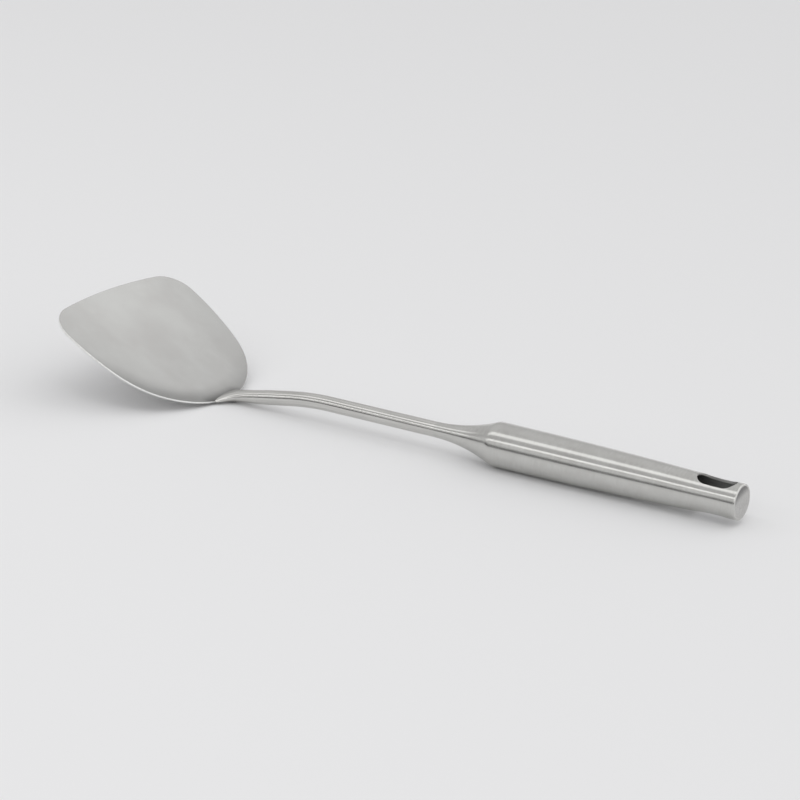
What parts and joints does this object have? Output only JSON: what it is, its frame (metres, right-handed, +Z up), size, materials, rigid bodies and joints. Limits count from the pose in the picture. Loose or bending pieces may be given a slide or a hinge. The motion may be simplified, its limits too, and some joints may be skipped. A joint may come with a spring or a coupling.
{
  "type": "cooking spatula",
  "caption": "Stainless steel turner: dished oval blade on a flattened round bar, with a hollow tapered tube handle, flared neck and hanging slot.",
  "frame": {"origin": "on the surface that the spatula lies on, under the middle of its length and width", "axes": "X along the spatula from the blade's front to the handle's end, Y across it, Z up"},
  "size_m": [0.38, 0.1034, 0.047],
  "materials": {
    "satin_sheet": "stainless steel sheet, satin rolled",
    "weld_metal": "stainless steel weld bead",
    "polished_bar": "stainless steel bar, polished along its length",
    "brushed_tube": "stainless steel tube, brushed round",
    "brushed_cap": "stainless steel disc, brushed"
  },
  "bodies": {
    "root": {"blade": "satin_sheet", "heel_weld": "weld_metal", "shank": "polished_bar", "neck_weld": "polished_bar", "neck_cone": "brushed_tube", "shoulder_weld": "brushed_tube", "handle_tube": "brushed_tube", "cap_weld": "brushed_tube", "end_cap": "brushed_cap"}
  },
  "joints": []
}
